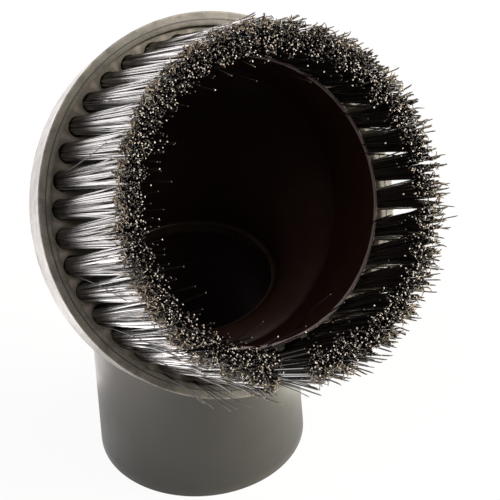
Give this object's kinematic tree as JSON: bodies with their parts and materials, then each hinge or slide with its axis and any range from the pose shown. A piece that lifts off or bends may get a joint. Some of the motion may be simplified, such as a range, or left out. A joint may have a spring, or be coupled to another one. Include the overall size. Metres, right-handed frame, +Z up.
{
  "type": "anti-static dusting brush",
  "caption": "Round dusting brush head for a vacuum cleaner: a ring of nylon tufts round an open suction mouth, on a hollow bent neck that pushes onto the wand.",
  "frame": {"origin": "on the surface the brush stands on, under the middle of its box; the neck's axis stands at x = 0, y = 0.0175", "axes": "+Z up along the neck, from its open end to the head; -Y to the side that the brush faces; X from side to side"},
  "size_m": [0.076, 0.0812, 0.1149],
  "materials": {
    "body": "satin dark grey moulded plastic",
    "ring": "satin warm grey moulded plastic",
    "bristle": "glossy black nylon filament"
  },
  "bodies": {
    "root": {"elbow_housing": "body", "bristle_ring": "ring", "tuft_01": "bristle", "tuft_02": "bristle", "tuft_03": "bristle", "tuft_04": "bristle", "tuft_05": "bristle", "tuft_06": "bristle", "tuft_07": "bristle", "tuft_08": "bristle", "tuft_09": "bristle", "tuft_10": "bristle", "tuft_11": "bristle", "tuft_12": "bristle", "tuft_13": "bristle", "tuft_14": "bristle", "tuft_15": "bristle", "tuft_16": "bristle", "tuft_17": "bristle", "tuft_18": "bristle", "tuft_19": "bristle", "tuft_20": "bristle", "tuft_21": "bristle", "tuft_22": "bristle", "tuft_23": "bristle", "tuft_24": "bristle", "tuft_25": "bristle", "tuft_26": "bristle", "tuft_27": "bristle", "tuft_28": "bristle", "tuft_29": "bristle", "tuft_30": "bristle", "tuft_31": "bristle", "tuft_32": "bristle", "tuft_33": "bristle", "tuft_34": "bristle", "tuft_35": "bristle", "tuft_36": "bristle"}
  },
  "joints": []
}
